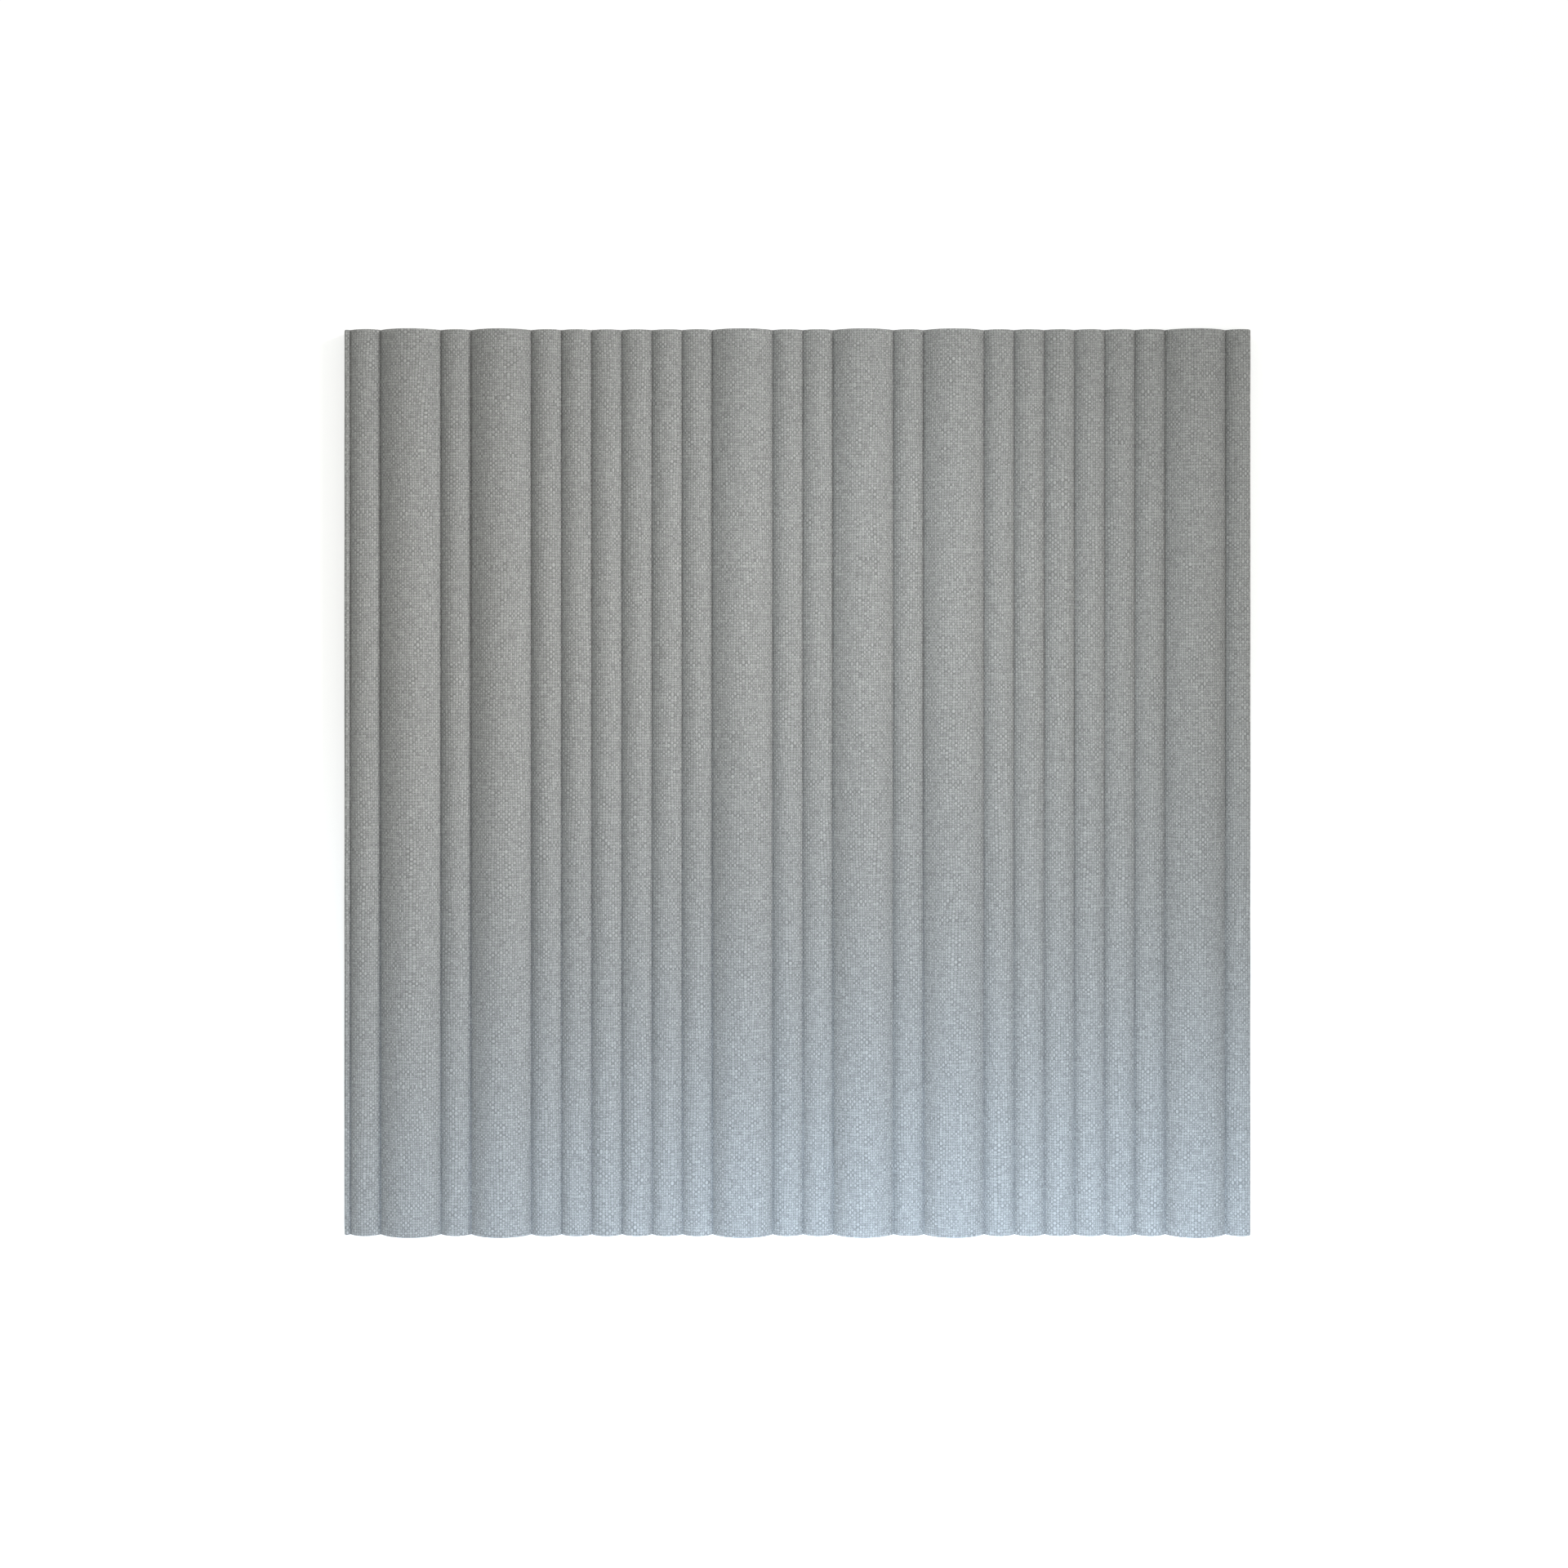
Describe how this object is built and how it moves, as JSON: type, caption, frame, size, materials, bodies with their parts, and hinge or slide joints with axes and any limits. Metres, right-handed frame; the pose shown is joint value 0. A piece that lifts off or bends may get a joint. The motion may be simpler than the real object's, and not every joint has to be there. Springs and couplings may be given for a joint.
{
  "type": "ribbed acoustic wall panel",
  "caption": "Square sound-absorbing wall tile with a woven grey face moulded into rounded ribs of two widths, running edge to edge over a flat back.",
  "frame": {"origin": "middle of the flat back, on the surface that the panel lies on", "axes": "+Z out of the ribbed face, +Y along the ribs towards the edge that is uppermost on the wall, +X across the ribs to the right as the face is seen"},
  "size_m": [0.6, 0.6, 0.0249],
  "materials": {
    "woven_facing": "plain-woven light grey upholstery cloth, matt, bonded over the moulded fibre"
  },
  "bodies": {
    "root": {"ribbed_panel": "woven_facing"}
  },
  "joints": []
}
